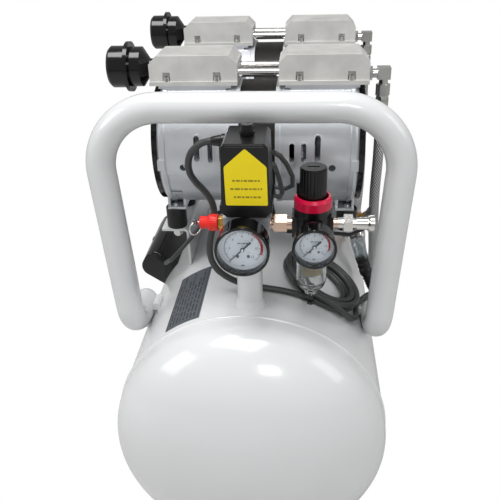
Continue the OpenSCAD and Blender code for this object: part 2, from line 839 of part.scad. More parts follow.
// cylinder liner and the valve plate on its top
module cylinders() color([0.80, 0.81, 0.82])
    for (y = pumps) at_pump(y) both_sides() {
        translate([cyl_x, 0, 0]) difference() {
            rod_z(28, 515, deck_z - 3);
            rod_z(bore_d / 2, 514, deck_z);
        }
        difference() {
            block(30, 112, -head_half, head_half, deck_z, head_z0);
            for (x = [-12, 12]) translate([cyl_x + x, 0, 0]) rod_z(4, deck_z - eps, head_z0 + eps);
        }
    }

stator_in = 29.6;
module stators() color([0.25, 0.22, 0.20])
    for (y = pumps) translate([pump_x, y, shaft_z]) {
        ring_x(stator_in, 70, -bell_x0, bell_x0);
        for (s = [-1, 1])
            rotate([0, 90, 0]) rotate_extrude()
                translate([45, s * (bell_x0 + 8)]) scale(8) circle(r = 1, $fn = 24);
    }

module rotor() {
    fan_r = 60;
    translate([0, 0, shaft_z]) {
        rod_x(shaft_r, -109, 109);
        rod_x(29, -bell_x0, bell_x0);
        for (s = [-1, 1]) {
            translate([s * cyl_x, 0, -throw]) rod_x(ecc_r, -ecc_half, ecc_half);
            translate([s * 105.5, 0, 0]) {
                rod_x(13, -5.5, 5.5);
                rod_x(30, -1, 1);
                for (a = [0:40:320]) rotate([a, 0, 0]) rotate([0, 0, s * 60])
                    block(-5, 5, -1, 1, 11, fan_r - 3);
            }
        }
    }
}

module front_rotor() color([0.5, 0.52, 0.55]) at_pump(front_y) rotor();

module rear_rotor() color([0.5, 0.52, 0.55]) at_pump(rear_y) rotor();

// connecting rod: a ring on the eccentric and an upright shank with its wrist eye
module conrod() {
    difference() {
        translate([cyl_x, 0, 0]) {
            translate([0, 0, ecc_z]) rod_x(21, -5, 5);
            block(-4, 4, -4, 4, ecc_z + 18, wrist_z);
            translate([0, 0, wrist_z]) rod_x(6, -5, 5);
        }
        translate([cyl_x, 0, ecc_z]) rod_x(ecc_r + fit, -8, 8);
        translate([cyl_x, 0, wrist_z]) rod_x(2.5, -8, 8);
    }
}

module front_conrods() color(diecast) at_pump(front_y) both_sides() conrod();

module rear_conrods() color(diecast) at_pump(rear_y) both_sides() conrod();

// piston cup at the bottom of its stroke, open below around the wrist
module piston() {
    translate([cyl_x, 0, 0]) difference() {
        rod_z(bore_d / 2 - fit, 517, 539);
        rod_z(20, 516, 534);
    }
}

module front_pistons() color([0.35, 0.33, 0.30]) at_pump(front_y) both_sides() piston();

module rear_pistons() color([0.35, 0.33, 0.30]) at_pump(rear_y) both_sides() piston();

module main_bearings() color(chrome)
    for (y = pumps) at_pump(y) both_sides() translate([0, 0, shaft_z])
        ring_x(shaft_r + fit, bearing_r, web_x - 4, web_x + 4);

// open guard over each outer fan: rim, hub and spokes
module fan_guards() color(black)
    for (y = pumps) at_pump(y) both_sides() translate([0, 0, shaft_z]) {
        ring_x(62, 71, bell_x1, 118);
        ring_x(38, 41, 114, 117);
        ring_x(17, 20, 114, 117);
        for (a = [0:30:330]) rotate([a, 0, 0]) block(114, 117, -1.5, 1.5, 19, 63);
    }

module crossover_tubes() color(chrome)
    for (y = pumps) at_pump(y) for (s = [-1, 1]) translate([0, s * tube_y, tube_z])
        rod_x(5, -head_x0, head_x0);

// intake silencer on the left head: base with a flange, cap, and the foam inside
module intake_filters() {
    for (y = pumps) translate([0, y, 572]) {
        color(black) difference() {
            union() {
                rod_x(9, -130, pump_x - head_x1);
                rod_x(28, -148.2, -143.8);
                rod_x(22.2, -143.8, -131);
                translate([-131, 0, 0]) rotate([0, 90, 0]) cylinder(r1 = 22.2, r2 = 9, h = 9);
            }
            rod_x(5, -150, -110);
            rod_x(20, -149, -134);
        }
        color(black) difference() {
            union() {
                rod_x(23.3, -166, -148.25);
                translate([-169, 0, 0]) rotate([0, 90, 0]) cylinder(r1 = 20.6, r2 = 23.3, h = 3);
            }
            rod_x(20.6, -166.5, -147);
            for (a = [0:30:330]) rotate([a, 0, 0]) block(-170, -160, -1.5, 1.5, 8, 17);
        }
        color([0.75, 0.75, 0.7]) ring_x(8, 19.6, -166.3, -134.2);
    }
}

module delivery_elbows() color(chrome)
    for (y = pumps) translate([144.5, y, 562]) {
        difference() {
            union() {
                hex_x(14, -18.5, -13);
                rod_x(5, -13, -7);
                block(-7.5, 7.1, -7, 7, -6, 7);
                rod_z(5, -12, -6);
                hex_z(14, -25, -12);
            }
            rod_x(3, -19, 0);
            rod_z(3, -26, 0);
        }
    }

module delivery_hoses() color([0.7, 0.71, 0.72]) {
    swept(hose_front, 6.5, 12);
    swept(hose_rear, 6.5, 12);
}

// check valve standing square on the tank's right shoulder, local Z outwards from the axis
module check_valve() color(brass)
    difference() {
        translate([0, check_y, tank_z]) rotate([0, check_angle, 0]) {
            rod_z(8, 145, 156);
            hex_z(22, 156, 164);
            rod_z(11, 164, 186);
            hex_z(17, 186, 194);
            translate([0, 0, 175]) rod_y(7, -22, 22);
            translate([0, 0, 160]) rod_y(3.5, -20, -8);
        }
        tank_volume(tank_r);
    }

module rubber_mounts() color(rubber)
    for (y = pumps) at_pump(y) for (s = [-1, 1]) for (t = [-1, 1])
        translate([s * foot_x, t * foot_dy, 0]) difference() {
            rotate_extrude() polygon([[0, rail_top], [11.6, rail_top], [12.3, rail_top + 1],
                [12.3, foot_z - 1], [11.6, foot_z], [0, foot_z]]);
            rod_z(3, rail_top - eps, foot_z + eps);
        }

// mount studs with their heads and nuts, head screws, and the cap nuts of the axles
module screws() color(chrome) {
    for (y = pumps) at_pump(y) for (s = [-1, 1]) for (t = [-1, 1])
        translate([s * foot_x, t * foot_dy, 0]) {
            rod_z(3, 370, foot_z + foot_t);
            rod_z(4.5, foot_z + foot_t, foot_z + foot_t + 2);
            hex_z(10, 372, rail_top - rail_t);
        }
    for (y = pumps) at_pump(y) both_sides() for (x = head_screw_x) for (t = [-1, 1])
        translate([x, t * head_screw_y, 0]) difference() {
            rod_z(3.1, head_z0 + 4.5, 567);
            hex_z(3, 564, 567 + eps);
        }
    both_sides() translate([0, axle_y, axle_z]) {
        rod_x(11, 170, 173);
        rod_x(7, 173, 174);
    }
}

cap_angle = -56;
module capacitor_cover() color(black)
    difference() {
        translate([0, 0, tank_z]) rotate([0, cap_angle, 0])
            translate([0, 40, 0]) rotate([90, 0, 0]) linear_extrude(120) {
                translate([-20, 140]) square([40, 35]);
                translate([-5, 175]) square([10, 15]);
                for (s = [-1, 1]) translate([s * 5, 175]) circle(r = 15);
            }
        tank_volume(tank_r + run_gap / 3);
    }

// thin printed plate bent round the tank's left shoulder
module nameplate() color([0.5, 0.52, 0.55]) {
    plate_r = tank_r + 0.8;
    a0 = 20.6;
    a1 = 37;
    translate([0, -262, tank_z]) rotate([-90, 0, 0]) rotate([0, 0, -90 - a1])
        rotate_extrude(angle = a1 - a0) translate([tank_r, 0]) square([plate_r - tank_r, 107]);
}

// ---------- cables ----------

module motor_leads() color(cable) {
    swept(lead_front_motor, 2.6, 10);
    swept(lead_front_motor_b, 2.6, 10);
    swept(lead_capacitor, 2.6, 10);
}

module unloader_tube() color([0.1, 0.1, 0.1]) swept(unloader, 2.2, 8);

module power_lead() {
    color(cable) {
        swept(lead_in, cord_r, 10);
        swept(lead_out, cord_r, 10);
    }
    // gland nut on the left side of the switch cover
    color(black) translate([0, -236, 537]) rod_x(7, -26.4, -18.4);
}

// outer shape of the coil that lies flat on the right shoulder
module cord_coil() color(cable) {
    half_w = coil_wide * cord_r;
    half_h = coil_layers * cord_r;
    translate([0, coil_y, tank_z]) rotate([0, coil_angle, 0]) translate([0, 0, coil_mid])
        rotate_extrude($fn = 96) translate([coil_turn_r - half_w, -half_h])
            square([2 * half_w, 2 * half_h]);
}

// plug leaning against the rail, with its strain relief below and a clear cover on its pins
module plug() {
    tilt = acos(plug_dir.z);
    turn = atan2(plug_dir.y, plug_dir.x);
    translate(plug_tail) rotate([0, tilt, turn]) {
        color(black) {
            cylinder(r1 = 4, r2 = 5.5, h = 16);
            translate([0, 0, 16]) cylinder(r = 7.8, h = 24);
        }
        color([0.85, 0.88, 0.9, 0.4]) translate([0, 0, 40 + fit]) cylinder(r = 8.2, h = 22);
    }
}

tank_barrel();
tank_dishes();
manifold_post();
carry_handle();
mount_rails();
undercarriage_brackets();
rubber_feet();
left_wheel();
right_wheel();
drain_valve_body();
drain_valve_key();
manifold_block();
pressure_switch_base();
pressure_switch_cover();
switch_mechanism();
switch_knob();
gauge_cases();
gauge_dials();
gauge_lenses();
main_gauge_needle();
safety_valve_body();
safety_valve_stem();
safety_valve_ring();
pipe_nipples();
regulator_body();
regulator_collar();
regulator_spindle();
regulator_knob();
regulator_gauge_needle();
filter_bowl();
filter_element();
bowl_drain_pin();
coupler_body();
coupler_sleeve();
front_rotor();
rear_rotor();
front_conrods();
rear_conrods();
front_pistons();
rear_pistons();
crankcases();
cylinder_heads();
cylinders();
stators();
fan_guards();
main_bearings();
crossover_tubes();
intake_filters();
delivery_elbows();
delivery_hoses();
check_valve();
rubber_mounts();
screws();
capacitor_cover();
nameplate();
motor_leads();
unloader_tube();
power_lead();
cord_coil();
plug();
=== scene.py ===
"""Looks of the oil-free air compressor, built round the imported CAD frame. Metres, +Z up."""
import math

import bmesh
import bpy
import numpy as np
from mathutils import Matrix, Quaternion, Vector


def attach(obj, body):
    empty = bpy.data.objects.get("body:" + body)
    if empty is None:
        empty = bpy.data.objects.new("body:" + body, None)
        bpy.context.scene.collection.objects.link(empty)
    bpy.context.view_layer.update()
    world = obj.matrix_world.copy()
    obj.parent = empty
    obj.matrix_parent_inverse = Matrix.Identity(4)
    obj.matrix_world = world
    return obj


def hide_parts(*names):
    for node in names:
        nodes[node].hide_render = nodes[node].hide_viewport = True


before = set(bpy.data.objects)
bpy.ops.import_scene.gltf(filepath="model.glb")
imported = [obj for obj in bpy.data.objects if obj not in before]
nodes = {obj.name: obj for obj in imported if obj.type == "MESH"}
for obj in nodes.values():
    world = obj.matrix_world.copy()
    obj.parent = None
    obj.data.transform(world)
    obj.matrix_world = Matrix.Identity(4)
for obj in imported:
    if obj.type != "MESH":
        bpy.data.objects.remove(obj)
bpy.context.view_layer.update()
MM = 0.001


# ---------- colour and material tools ----------

def linear(hex_colour, alpha=1.0):
    """sRGB hex to the linear RGBA that shader sockets take."""
    values = [int(hex_colour[i:i + 2], 16) / 255 for i in (1, 3, 5)]
    curve = [v / 12.92 if v <= 0.04045 else ((v + 0.055) / 1.055) ** 2.4 for v in values]
    return (*curve, alpha)


def add(tree, kind, sockets=None, **settings):
    """Adds a shader node, sets its properties, and sets or links its inputs."""
    node = tree.nodes.new("ShaderNode" + kind)
    for name, value in settings.items():
        setattr(node, name, value)
    for name, value in (sockets or {}).items():
        if isinstance(value, bpy.types.NodeSocket):
            tree.links.new(value, node.inputs[name])
        else:
            node.inputs[name].default_value = value
    return node


def surface(name, colour, roughness, metallic=0.0, grain_mm=2.0, depth_mm=0.02, cloud_mm=45.0,
            shade=0.07, rough_swing=0.06, coords="Object", **shader):
    """A solid finish: fine grain in the bump and the roughness, slow clouds in the colour."""
    material = bpy.data.materials.new(name)
    material.use_nodes = True
    tree = material.node_tree
    bsdf = tree.nodes["Principled BSDF"]
    for socket, value in {"Metallic": metallic, **shader}.items():
        bsdf.inputs[socket.replace("_", " ")].default_value = value
    place = add(tree, "TexCoord").outputs[coords]
    cloud = add(tree, "TexNoise", {"Vector": place, "Scale": 1 / (cloud_mm * MM), "Detail": 3.0})
    base = linear(colour)
    dark = tuple(c * (1 - shade) for c in base[:3]) + (1.0,)
    light = tuple(min(1.0, c * (1 + shade)) for c in base[:3]) + (1.0,)
    tint = add(tree, "ValToRGB", {"Fac": cloud.outputs["Fac"]})
    tint.color_ramp.elements[0].position = 0.3
    tint.color_ramp.elements[1].position = 0.7
    tint.color_ramp.elements[0].color = dark
    tint.color_ramp.elements[1].color = light
    tree.links.new(tint.outputs["Color"], bsdf.inputs["Base Color"])
    grain = add(tree, "TexNoise", {"Vector": place, "Scale": 1 / (grain_mm * MM), "Detail": 4.0})
    rough = add(tree, "MapRange", {"Value": grain.outputs["Fac"], "To Min": roughness - rough_swing,
                                   "To Max": roughness + rough_swing})
    tree.links.new(rough.outputs["Result"], bsdf.inputs["Roughness"])
    bump = add(tree, "Bump", {"Height": grain.outputs["Fac"], "Strength": 0.6,
                              "Distance": depth_mm * MM})
    tree.links.new(bump.outputs["Normal"], bsdf.inputs["Normal"])
    return material


def braided_wire():
    """Stainless wire braid on a hose: crossing bundles about 2 mm wide, with painted shade in the
    grooves between them.
    """
    material = surface("stainless_wire_braid", "#c9cbcd", 0.3, 0.6, 0.5, 0.02)
    tree = material.node_tree
    bsdf = tree.nodes["Principled BSDF"]
    place = add(tree, "TexCoord").outputs["UV"]
    strands = []
    for turn in (0.6, -0.6):
        lay = add(tree, "Mapping", {"Vector": place, "Rotation": (0, 0, turn)})
        bands = add(tree, "TexWave", {"Vector": lay.outputs["Vector"], "Scale": 0.125},
                    wave_profile="SIN")
        strands.append(bands.outputs["Fac"])
    weave = add(tree, "Math", operation="MULTIPLY")
    for i in (0, 1):
        tree.links.new(strands[i], weave.inputs[i])
    tint = add(tree, "ValToRGB", {"Fac": weave.outputs["Value"]})
    # the near-black end of the ramp is painted shade in the grooves between the bundles; the bump
    # gives the real relief
    tint.color_ramp.elements[0].position = 0.05
    tint.color_ramp.elements[0].color = linear("#1c1d1e")
    tint.color_ramp.elements[1].position = 0.45
    tint.color_ramp.elements[1].color = linear("#ffffff")
    tree.links.new(tint.outputs["Color"], bsdf.inputs["Base Color"])
    bump = add(tree, "Bump", {"Height": weave.outputs["Value"], "Strength": 0.9,
                              "Distance": 0.5 * MM})
    tree.links.new(bump.outputs["Normal"], bsdf.inputs["Normal"])
    return material


def clear_plastic(name, tint, roughness):
    """Moulded clear polycarbonate, faintly uneven like any moulding."""
    return surface(name, tint, roughness, 0.0, 6.0, 0.03, 30.0, 0.02, 0.02,
                   Transmission_Weight=1.0, IOR=1.58)


def thin_clear(name, tint, roughness, body):
    """Thin clear sheet: a little of the plastic's own shine over an open view through it."""
    material = clear_plastic(name, tint, roughness)
    tree = material.node_tree
    see_through = add(tree, "BsdfTransparent", {"Color": linear(tint)})
    mix = add(tree, "MixShader", {"Fac": body})
    tree.links.new(see_through.outputs["BSDF"], mix.inputs[1])
    tree.links.new(tree.nodes["Principled BSDF"].outputs["BSDF"], mix.inputs[2])
    tree.links.new(mix.outputs["Shader"], tree.nodes["Material Output"].inputs["Surface"])
    return material


# sprayed gloss enamel: hard clear shine over a faint orange peel about 4 mm across
enamel = surface("gloss_white_enamel", "#d8d9da", 0.2, 0.0, 4.0, 0.05, 120.0, 0.02, 0.04,
                 Coat_Weight=0.6, Coat_Roughness=0.08)
# die-cast aluminium, tumbled: bright satin metal with a fine speckle
die_cast = surface("satin_die_cast_aluminium", "#cdd0d4", 0.36, 0.7, 0.7, 0.03, 35.0, 0.06, 0.06)
# sand-cast aluminium: duller and grainier than the bells
sand_cast = surface("sand_cast_aluminium", "#cbcac7", 0.55, 0.2, 0.9, 0.16, 25.0, 0.1, 0.08)
# bright nickel plate on turned and hexagonal fittings: sharp reflections, faintly yellow
nickel = surface("bright_nickel_plate", "#d9d8d4", 0.16, 1.0, 1.5, 0.01, 20.0, 0.05, 0.05)
# nickel plate with a warm tint that is a painted reflection of warm light
nickel_painted_warm_reflection = surface("painted_warm_reflection_nickel", "#d9bba8", 0.2, 1.0, 1.5, 0.01, 20.0, 0.05, 0.05)
# turned brass, lightly tarnished
brass = surface("turned_brass", "#b98c46", 0.3, 1.0, 1.2, 0.015, 12.0, 0.12, 0.08)
# turned and ground steel: grey shine softened by the tool's fine lines
steel = surface("turned_steel", "#9a9b9c", 0.3, 1.0, 0.8, 0.02, 20.0, 0.08, 0.08)
# stacked silicon steel sheets, varnished: dark with a dull metallic glint
laminate = surface("stator_laminations", "#2a2826", 0.45, 0.7, 0.5, 0.1, 20.0, 0.2, 0.1)
# sintered bronze beads: matt, sandy and pale
sintered = surface("sintered_bronze_filter", "#b9a67c", 0.7, 0.2, 0.4, 0.15, 10.0, 0.12, 0.08)
# injection moulded ABS with a polished tool face
gloss_black = surface("gloss_black_abs", "#040405", 0.14, 0.0, 2.5, 0.02, 40.0, 0.2, 0.04)
# the same plastic with a finely textured tool face
satin_black = surface("textured_black_abs", "#070708", 0.32, 0.0, 0.6, 0.04, 30.0, 0.2, 0.08)
# baked enamel on the pressed gauge cases: wet black shine
case_black = surface("baked_black_enamel", "#040405", 0.1, 0.0, 3.0, 0.01, 30.0, 0.1, 0.03)
# extruded nylon: black with a soft shine
nylon = surface("black_nylon_tube", "#0d0d0e", 0.3, 0.0, 2.0, 0.01, 25.0, 0.2, 0.05)
# moulded natural rubber, a little dusty
rubber = surface("moulded_black_rubber", "#0a0a0a", 0.45, 0.0, 0.8, 0.06, 18.0, 0.25, 0.1)
# solid tyre rubber, scuffed matt by the floor
tyre_black = surface("solid_tyre_rubber", "#191919", 0.7, 0.0, 1.2, 0.08, 30.0, 0.2, 0.1)
# PVC cable sheath, smooth but soft in its shine
sheath = surface("grey_pvc_sheath", "#373938", 0.4, 0.0, 1.5, 0.02, 25.0, 0.12, 0.06)
# filled PTFE of the piston cups: waxy dark brown
piston_dark = surface("filled_ptfe", "#3a3631", 0.5, 0.0, 0.6, 0.03, 15.0, 0.1, 0.06)
# coated card with flat print on it
dial_white = surface("printed_dial_card", "#fafcff", 0.45, 0.0, 0.5, 0.004, 15.0, 0.02, 0.05)
ink_black = surface("dial_ink", "#20242b", 0.5, 0.0, 0.5, 0.004, 10.0, 0.1, 0.05)
ink_red = surface("red_dial_ink", "#c01522", 0.5, 0.0, 0.5, 0.004, 10.0, 0.1, 0.05)
# moulded polypropylene cap: clean scarlet, softly glossy
cap_red = surface("red_moulded_cap", "#e01a0d", 0.38, 0.0, 1.0, 0.03, 15.0, 0.08, 0.06)
# moulded acetal lock collar: deeper crimson and smoother
collar_red = surface("crimson_acetal", "#cb0c3e", 0.3, 0.0, 1.0, 0.02, 15.0, 0.06, 0.05)
# matt vinyl label, and the thin print on it
label_yellow = surface("yellow_vinyl_label", "#f0d800", 0.5, 0.0, 0.8, 0.01, 25.0, 0.03, 0.05)
label_ink = surface("label_print", "#8b7f14", 0.6, 0.0, 0.8, 0.01, 10.0, 0.1, 0.05)
# printed aluminium foil: grey metal shine with darker print
plate_foil = surface("printed_foil_plate", "#6f757c", 0.34, 0.6, 1.5, 0.01, 20.0, 0.08, 0.06)
plate_ink = surface("plate_print", "#30353b", 0.5, 0.0, 1.0, 0.01, 10.0, 0.1, 0.05)
# clear moulded parts: the bowl is thick, the lenses and the pin cover are thin sheets
clear_bowl = clear_plastic("clear_polycarbonate_bowl", "#f1f4f4", 0.05)
clear_lens = thin_clear("clear_gauge_lens", "#fbfdff", 0.03, 0.12)
clear_cover = thin_clear("clear_pin_cover", "#e9eef0", 0.08, 0.6)
braid = braided_wire()

CAD_FINISH = {
    "tank_barrel": enamel, "manifold_post": enamel, "carry_handle": enamel,
    "mount_rails": enamel, "undercarriage_brackets": enamel, "rubber_feet": rubber,
    "drain_valve_body": brass, "drain_valve_key": cap_red,
    "manifold_block": die_cast, "pressure_switch_base": satin_black,
    "pressure_switch_cover": satin_black, "switch_mechanism": sintered,
    "switch_knob": satin_black, "gauge_cases": case_black, "gauge_dials": dial_white,
    "gauge_lenses": clear_lens, "main_gauge_needle": ink_black, "safety_valve_stem": steel,
    "safety_valve_ring": nickel, "pipe_nipples": nickel_painted_warm_reflection, "regulator_body": satin_black,
    "regulator_collar": collar_red, "regulator_spindle": steel, "regulator_knob": satin_black,
    "regulator_gauge_needle": ink_black, "filter_bowl": clear_bowl, "filter_element": sintered,
    "bowl_drain_pin": gloss_black, "coupler_body": nickel, "coupler_sleeve": nickel,
    "front_rotor": steel, "rear_rotor": steel, "front_conrods": die_cast,
    "rear_conrods": die_cast, "front_pistons": piston_dark, "rear_pistons": piston_dark,
    "crankcases": die_cast, "cylinder_heads": sand_cast, "cylinders": die_cast,
    "stators": laminate, "fan_guards": gloss_black, "main_bearings": steel,
    "crossover_tubes": nickel, "intake_filters": gloss_black, "delivery_elbows": nickel,
    "check_valve": brass, "rubber_mounts": rubber, "screws": nickel,
    "nameplate": plate_foil, "motor_leads": sheath, "unloader_tube": nylon,
}


def dress_cad():
    """Gives every shown CAD node its finish."""
    for name, material in CAD_FINISH.items():
        mesh = nodes[name].data
        mesh.materials.clear()
        mesh.materials.append(material)


# ---------- camera, light and stage ----------

CAMERA_PLACE = Vector((0.0546, -0.7956, 0.7276))
CAMERA_AIM = Vector((-0.0034, -0.1849, 0.3904))
CAMERA_ROLL = math.radians(-1.79)
LENS_MM = 44.56
SENSOR_MM = 36.0
CLOSEST_SEEN = 10 * MM
# name, place, aim, width, height and power in watts
LIGHTS = [("key_light", (-0.3, -0.5, 2.3), (0, 0, 0.4), 1.3, 0.9, 33),
          ("left_light", (-1.9, -0.9, 1.5), (0, -0.1, 0.4), 1.0, 1.0, 9),
          ("right_light", (1.9, -0.6, 1.4), (0, 0, 0.4), 0.8, 1.0, 5),
          ("front_light", (0.5, -2.1, 1.7), (0, -0.2, 0.45), 0.5, 0.4, 9)]
WORLD_LIGHT = 0.4
WORLD_SEEN = 1.0
FLOOR_HALF = 6.0


def make_camera():
    """The camera looks down along the tank from above the control end."""
    data = bpy.data.cameras.new("camera")
    data.lens = LENS_MM
    data.sensor_width = SENSOR_MM
    data.clip_start = CLOSEST_SEEN
    camera = bpy.data.objects.new("camera", data)
    gaze = (CAMERA_AIM - CAMERA_PLACE).to_track_quat("-Z", "Y")
    turn = gaze @ Quaternion((0, 0, 1), CAMERA_ROLL)
    camera.matrix_world = Matrix.LocRotScale(CAMERA_PLACE, turn, None)
    bpy.context.scene.collection.objects.link(camera)
    bpy.context.scene.camera = camera


def soft_box(name, place, aim, width, height, power):
    """A large area light turned towards a point."""
    data = bpy.data.lights.new(name, "AREA")
    data.shape = "RECTANGLE"
    data.size = width
    data.size_y = height
    data.energy = power
    light = bpy.data.objects.new(name, data)
    turn = (Vector(aim) - Vector(place)).to_track_quat("-Z", "Y")
    light.matrix_world = Matrix.LocRotScale(Vector(place), turn, None)
    bpy.context.scene.collection.objects.link(light)


def studio_floor():
    """Pale grey floor that is burnt out to white where the camera sees it."""
    material = surface("pale_studio_floor", "#c9c9c8", 0.6, 0.0, 8.0, 0.02, 400.0, 0.01, 0.03)
    tree = material.node_tree
    seen = add(tree, "LightPath").outputs["Is Camera Ray"]
    glow = add(tree, "Emission", {"Color": linear("#ffffff")})
    mix = add(tree, "MixShader", {"Fac": seen})
    tree.links.new(tree.nodes["Principled BSDF"].outputs["BSDF"], mix.inputs[1])
    tree.links.new(glow.outputs["Emission"], mix.inputs[2])
    tree.links.new(mix.outputs["Shader"], tree.nodes["Material Output"].inputs["Surface"])
    return material


def make_studio():
    """Pale floor, white surroundings and four soft lights."""
    world = bpy.data.worlds.new("studio")
    world.use_nodes = True
    background = world.node_tree.nodes["Background"]
    background.inputs["Color"].default_value = linear("#ffffff")
    seen = add(world.node_tree, "LightPath").outputs["Is Camera Ray"]
    level = add(world.node_tree, "MapRange", {"Value": seen, "To Min": WORLD_LIGHT,
                                              "To Max": WORLD_SEEN})
    world.node_tree.links.new(level.outputs["Result"], background.inputs["Strength"])
    bpy.context.scene.world = world
    bpy.context.scene.view_settings.view_transform = "Standard"
    for light in LIGHTS:
        soft_box(*light)
    mesh = bpy.data.meshes.new("floor")
    shape = bmesh.new()
    bmesh.ops.create_grid(shape, x_segments=1, y_segments=1, size=FLOOR_HALF)
    shape.to_mesh(mesh)
    shape.free()
    floor = bpy.data.objects.new("floor", mesh)
    bpy.context.scene.collection.objects.link(floor)
    mesh.materials.append(studio_floor())


# ---------- shape tools ----------

def ride_along(name, shape, material, body="root"):
    """Turns a bmesh, as it is, into an object that rides on a body."""
    mesh = bpy.data.meshes.new(name)
    shape.to_mesh(mesh)
    shape.free()
    mesh.materials.append(material)
    made = bpy.data.objects.new(name, mesh)
    bpy.context.scene.collection.objects.link(made)
    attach(made, body)
    return made


def piece(name, shape, material, body="root", slot=None, smooth=35.0):
    """A solid piece, its faces outwards, sharp only at edges above the smooth angle."""
    bmesh.ops.recalc_face_normals(shape, faces=shape.faces)
    limit = math.radians(smooth)
    for face in shape.faces:
        face.smooth = True
    for edge in shape.edges:
        edge.smooth = len(edge.link_faces) != 2 or edge.calc_face_angle(0) < limit
    return ride_along(name, shape, material, body)


def distances(line):
    """How far along the line each of its points is."""
    steps = np.linalg.norm(np.diff(line, axis=0), axis=1)
    return np.concatenate([[0], np.cumsum(steps)])


def facing(direction):
    """The turn that takes +Z to a direction."""
    return Vector((0, 0, 1)).rotation_difference(Vector(direction)).to_matrix().to_4x4()


def moved(place):
    """The shift to a place in mm."""
    return Matrix.Translation(Vector(place) * MM)


def quarter(radius_x, radius_y, middle_y, angles):
    """Points of an elliptical arc at the given angles, in mm."""
    return [(radius_x * math.cos(math.radians(a)),
             middle_y + radius_y * math.sin(math.radians(a))) for a in angles]


def smooth_line(points, step):
    """Even points along a smooth curve through the given ones."""
    p = np.array(points, float)
    p = np.vstack([2 * p[0] - p[1], p, 2 * p[-1] - p[-2]])
    fine = []
    for i in range(1, len(p) - 2):
        for t in np.linspace(0, 1, 12, endpoint=False):
            fine.append(0.5 * (2 * p[i] + (p[i + 1] - p[i - 1]) * t
                               + (2 * p[i - 1] - 5 * p[i] + 4 * p[i + 1] - p[i + 2]) * t ** 2
                               + (3 * p[i] - p[i - 1] - 3 * p[i + 1] + p[i + 2]) * t ** 3))
    fine = np.array(fine + [p[-2]])
    run = distances(fine)
    even = np.linspace(0, run[-1], max(2, round(run[-1] / step)) + 1)
    return np.column_stack([np.interp(even, run, fine[:, k]) for k in range(3)])


def tube(line, radii, sides):
    """A closed tube along a line, with UV in millimetres round and along it."""
    shape = bmesh.new()
    uv = shape.loops.layers.uv.new("UVMap")
    run = distances(line)
    points = [Vector(p) for p in line]
    side = None
    rings = []
    for i, point in enumerate(points):
        ahead = points[min(i + 1, len(points) - 1)] - points[max(i - 1, 0)]
        ahead.normalize()
        if side is None:
            side = Vector((0, 1, 0)) if abs(ahead.y) < 0.9 else Vector((1, 0, 0))
        side = (side - side.dot(ahead) * ahead).normalized()
        up = ahead.cross(side)
        turn = Matrix((side, up, ahead)).transposed().to_4x4()
        ring = bmesh.ops.create_circle(shape, segments=sides, radius=radii[i],
                                       matrix=Matrix.Translation(point) @ turn)["verts"]
        rings.append(ring)
    for i in range(len(rings) - 1):
        for j in range(sides):
            k = (j + 1) % sides
            face = shape.faces.new((rings[i][j], rings[i][k], rings[i + 1][k], rings[i + 1][j]))
            around = 2 * math.pi * radii[i] / MM / sides
            corners = [(j, i), (j + 1, i), (j + 1, i + 1), (j, i + 1)]
            for loop, (a, b) in zip(face.loops, corners):
                loop[uv].uv = (a * around, run[b] / MM)
    shape.faces.new(rings[0][::-1])
    shape.faces.new(rings[-1])
    return shape


def metres(points):
    return [[v * MM for v in p] for p in points]


# ---------- power cord ----------

TANK_Z = 210.0
TANK_R = 150.0
CORD_D = 7.0
CORD_R = CORD_D / 2
CORD_GAP = 0.3
CORD_STEP = 4.0
COIL_ANGLE = math.radians(30)
COIL_Y = -174.0
COIL_R = 39.0
# each turn's ring (1 outer, -1 inner) and the layer it lies in
COIL_TURNS = [(1, 0), (0, 0), (-1, 0), (0, 1), (1, 1)]
LEAD_IN = [[-18.4, -236, 537], [-26.4, -236, 537], [-40, -235, 534.5], [-49, -232.5, 528],
           [-55, -230, 520], [-58, -227, 509], [-57, -225, 498], [-52, -223, 488],
           [-45, -221.5, 479], [-38.5, -221, 468], [-36, -221, 456], [-37, -222, 443],
           [-40, -223.5, 430], [-42.5, -225, 416], [-41.5, -226, 402], [-36, -226, 389.5],
           [-26, -225.5, 379.5], [-13, -224.5, 372], [2, -223, 366.8], [18, -221.5, 363.2],
           [34, -220.5, 359.9], [48, -220, 356], [62, -220, 350.6]]
LEAD_OUT = [[92, -219.5, 341.5], [103, -217.5, 329.5], [112, -209.5, 317.5],
            [117.5, -198, 310.5], [119.5, -187, 308.5], [119.8, -176, 310],
            [122.5, -169, 311.3], [127.5, -162, 311.6], [133.5, -157, 313.9],
            [139.6, -153.2, 315.4], [140.2, -151.7, 318.1], [139, -150, 321.5]]


def ease(value, start, end):
    """Smooth step from 0 at start to 1 at end."""
    t = min(1.0, max(0.0, (value - start) / (end - start)))
    return t * t * (3 - 2 * t)


def coil_line():
    """Five turns on the right shoulder: three spiral inwards, and two lie on them."""
    across = Vector((math.cos(COIL_ANGLE), 0, -math.sin(COIL_ANGLE)))
    outward = Vector((math.sin(COIL_ANGLE), 0, math.cos(COIL_ANGLE)))
    points = []
    for turn, (ring, layer) in enumerate(COIL_TURNS):
        next_ring, next_layer = COIL_TURNS[min(turn + 1, len(COIL_TURNS) - 1)]
        # the lead-in already ends where the first turn starts
        for angle in range(15 if turn == 0 else 0, 360, 15):
            radius = COIL_R + CORD_D * (ring + (next_ring - ring) * ease(angle, 275, 360))
            height = layer + (next_layer - layer) * ease(angle, 170, 280)
            lift = TANK_R + CORD_GAP + CORD_R + height * (CORD_D - 0.1)
            a = math.radians(angle)
            spot = (outward * lift + across * radius * math.sin(a)
                    + Vector((0, COIL_Y - radius * math.cos(a), TANK_Z)))
            points.append(list(spot))
    return points


def make_cord():
    """The power cord in one run: loop, coil and end at the plug, with gland and plug."""
    line = smooth_line(metres(LEAD_IN + coil_line() + LEAD_OUT), CORD_STEP * MM)
    cord = piece("power_cord", tube(line, [CORD_R * MM] * len(line), 14), sheath,
                 slot="cable_grey")
    gland = make_gland()
    parts = make_plug()
    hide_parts("power_lead", "cord_coil")
    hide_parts("plug")


